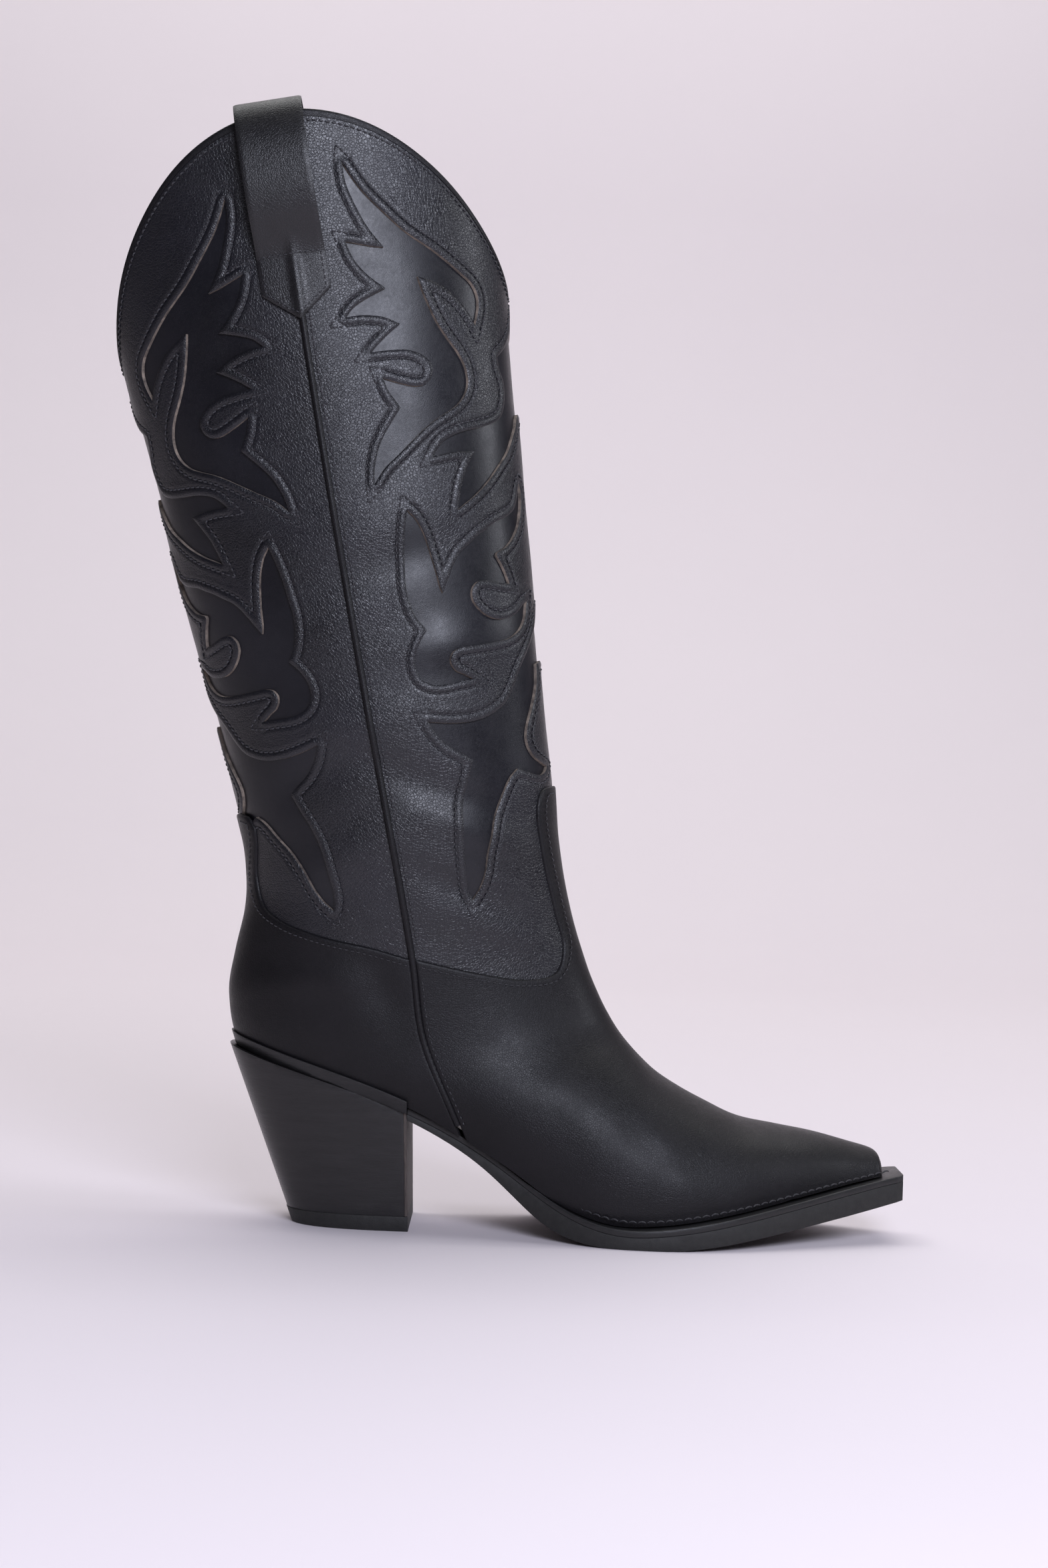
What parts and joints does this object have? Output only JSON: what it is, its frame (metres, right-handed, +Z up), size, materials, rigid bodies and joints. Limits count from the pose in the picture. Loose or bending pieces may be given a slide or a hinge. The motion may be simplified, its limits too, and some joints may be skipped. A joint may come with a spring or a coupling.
{
  "type": "cowboy boot",
  "caption": "Knee-high western boot with flame overlays, deep dipped collar, pull straps, snipped square toe and a raked block heel.",
  "frame": {"origin": "middle of the boot's footprint box, on the floor", "axes": "+X to the toe, +Y to the inner side of the foot, +Z up; right boot"},
  "size_m": [0.3272, 0.1162, 0.4419],
  "materials": {
    "smooth_leather": "satin",
    "grained_leather": "satin",
    "underlay_leather": "semi-gloss",
    "lining_leather": "matte",
    "stiffener": "matte",
    "backing_cloth": "matte",
    "insole_board": "matte",
    "cork": "matte",
    "welt_leather": "satin",
    "outsole": "satin",
    "heel_lacquer": "semi-gloss",
    "heel_wood": "satin",
    "top_lift_rubber": "matte",
    "steel": "brushed"
  },
  "bodies": {
    "root": {"vamp": "smooth_leather", "counter": "smooth_leather", "shaft_front_overlay": "grained_leather", "shaft_back_overlay": "grained_leather", "shaft_front_underlay": "underlay_leather", "shaft_back_underlay": "underlay_leather", "shaft_front_lining": "lining_leather", "shaft_back_lining": "lining_leather", "foot_lining": "lining_leather", "outer_side_seam_piping": "smooth_leather", "inner_side_seam_piping": "smooth_leather", "collar_binding": "smooth_leather", "outer_pull_strap": "smooth_leather", "inner_pull_strap": "smooth_leather", "toe_puff": "stiffener", "heel_stiffener": "stiffener", "vamp_backing": "backing_cloth", "insole_board": "insole_board", "sock_liner": "lining_leather", "forefoot_filler": "cork", "welt": "welt_leather", "midsole": "welt_leather", "outsole": "outsole", "heel_rand": "welt_leather", "heel_seat_lift": "insole_board", "heel_block": "heel_lacquer", "heel_breast_facing": "heel_wood", "top_lift": "top_lift_rubber", "steel_shank": "steel", "shank_rivets": "steel", "heel_screws": "steel", "top_lift_nails": "steel"}
  },
  "joints": []
}
